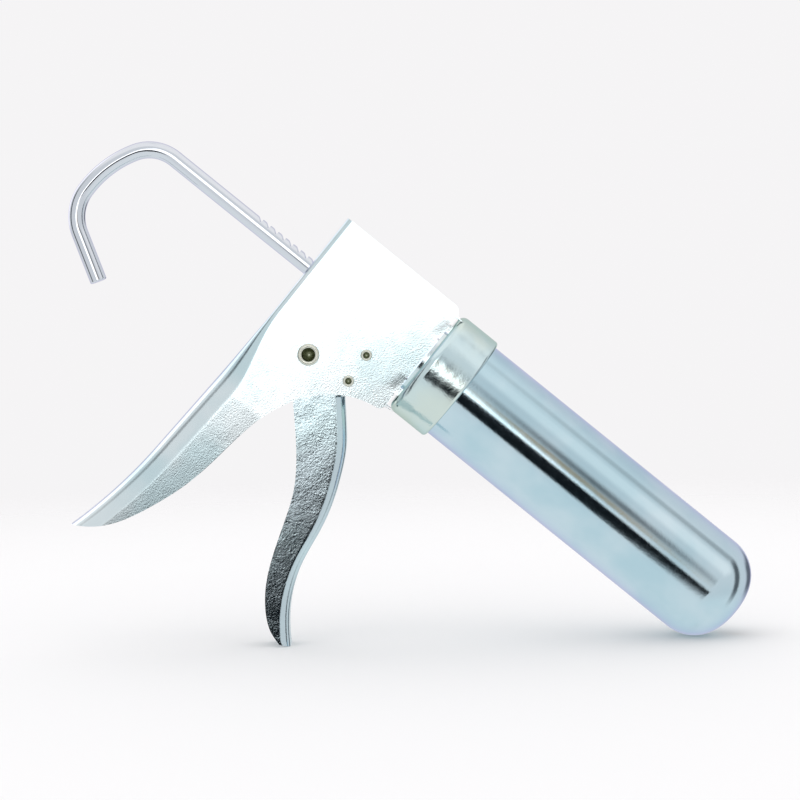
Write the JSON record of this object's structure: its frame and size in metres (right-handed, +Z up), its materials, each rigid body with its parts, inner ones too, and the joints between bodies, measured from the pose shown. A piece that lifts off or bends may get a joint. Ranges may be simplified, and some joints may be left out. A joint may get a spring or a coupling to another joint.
{
  "type": "caulking gun",
  "caption": "Plated steel caulking gun: folded one-piece head and handle, trigger, ratchet push rod ending in a hanging hook, and a closed round barrel for a sealant cartridge.",
  "frame": {"origin": "centre of the bounding box's foot, on the surface that the gun stands on by its trigger tip and the nose of its barrel", "axes": "+Z up; +X level, towards the side that the barrel's nose points to, which is 40 degrees below +X; the gun is symmetric about Y = 0 but for its rivets and springs"},
  "size_m": [0.318, 0.0554, 0.2366],
  "materials": {
    "zinc_plated_sheet": "bright zinc plate with a faint blue passivate",
    "zinc_plated_trigger": "bright zinc plate over pressed sheet",
    "zinc_plated_cap": "bright zinc plate, slightly yellow-green",
    "zinc_plated_barrel": "bright zinc plate with a blue passivate over a drawn tube",
    "zinc_plated_bar": "bright zinc plate over drawn bar",
    "turned_steel": "turned, zinc plated",
    "rivet_steel": "clinched, zinc plated",
    "hardened_steel": "case hardened, dark",
    "spring_wire": "drawn spring wire"
  },
  "bodies": {
    "gun": {"frame": "zinc_plated_sheet", "front_plate": "zinc_plated_sheet", "barrel_cap": "zinc_plated_cap", "rod_guide": "turned_steel", "trigger_pivot_rivet": "rivet_steel", "holding_pawl_rivet": "rivet_steel", "stop_rivet": "rivet_steel", "pivot_sleeve": "turned_steel", "pivot_washers": "turned_steel", "stop_spacer": "turned_steel", "holding_pawl_spacers": "turned_steel", "trigger_return_spring": "spring_wire", "holding_pawl_spring": "spring_wire"},
    "trigger": {"trigger": "zinc_plated_trigger", "drive_pawl_pin": "turned_steel", "drive_pawl_spacers": "turned_steel", "drive_pawl_spring": "spring_wire"},
    "drive_pawl": {"drive_pawl": "hardened_steel"},
    "holding_pawl": {"holding_pawl": "hardened_steel"},
    "piston": {"piston_cup": "zinc_plated_sheet"},
    "rod": {"push_rod": "zinc_plated_bar", "piston_backing_washer": "turned_steel", "piston_face_washer": "turned_steel", "piston_nut": "turned_steel"},
    "barrel": {"barrel": "zinc_plated_barrel"}
  },
  "joints": [
    {"name": "trigger_squeeze", "type": "hinge", "parent": "gun", "child": "trigger", "pos_m": [-0.04533, 0, 0.13589], "axis": [0, 1, 0], "range_deg": [0, 25], "stiffness_Nm_per_rad": 0.8, "springref_deg": -22.92, "deforming": ["trigger_return_spring"]},
    {"name": "drive_pawl_turn", "type": "hinge", "parent": "trigger", "child": "drive_pawl", "pos_m": [-0.03719, 0, 0.15138], "axis": [0, 1, 0], "range_deg": [-25, 0], "deforming": ["drive_pawl_spring"]},
    {"name": "holding_pawl_turn", "type": "hinge", "parent": "gun", "child": "holding_pawl", "pos_m": [-0.01858, 0, 0.13501], "axis": [0, 1, 0], "range_deg": [0, 15], "stiffness_Nm_per_rad": 0.005, "springref_deg": -17.19, "deforming": ["holding_pawl_spring"]},
    {"name": "rod_slide", "type": "slide", "parent": "gun", "child": "piston", "axis": [0.7635, 0, -0.6458], "range_m": [-0.072, 0.067]},
    {"name": "rod_turn", "type": "hinge", "parent": "piston", "child": "rod", "pos_m": [0.07305, 0, 0.07703], "axis": [0.7635, 0, -0.6458], "continuous": true},
    {"name": "barrel_pull", "type": "slide", "parent": "gun", "child": "barrel", "axis": [0.7635, 0, -0.6458], "range_m": [0, 0.02]}
  ],
  "couplings": [
    {"joint": "drive_pawl_turn", "follows": "trigger_squeeze", "ratio": -1}
  ]
}
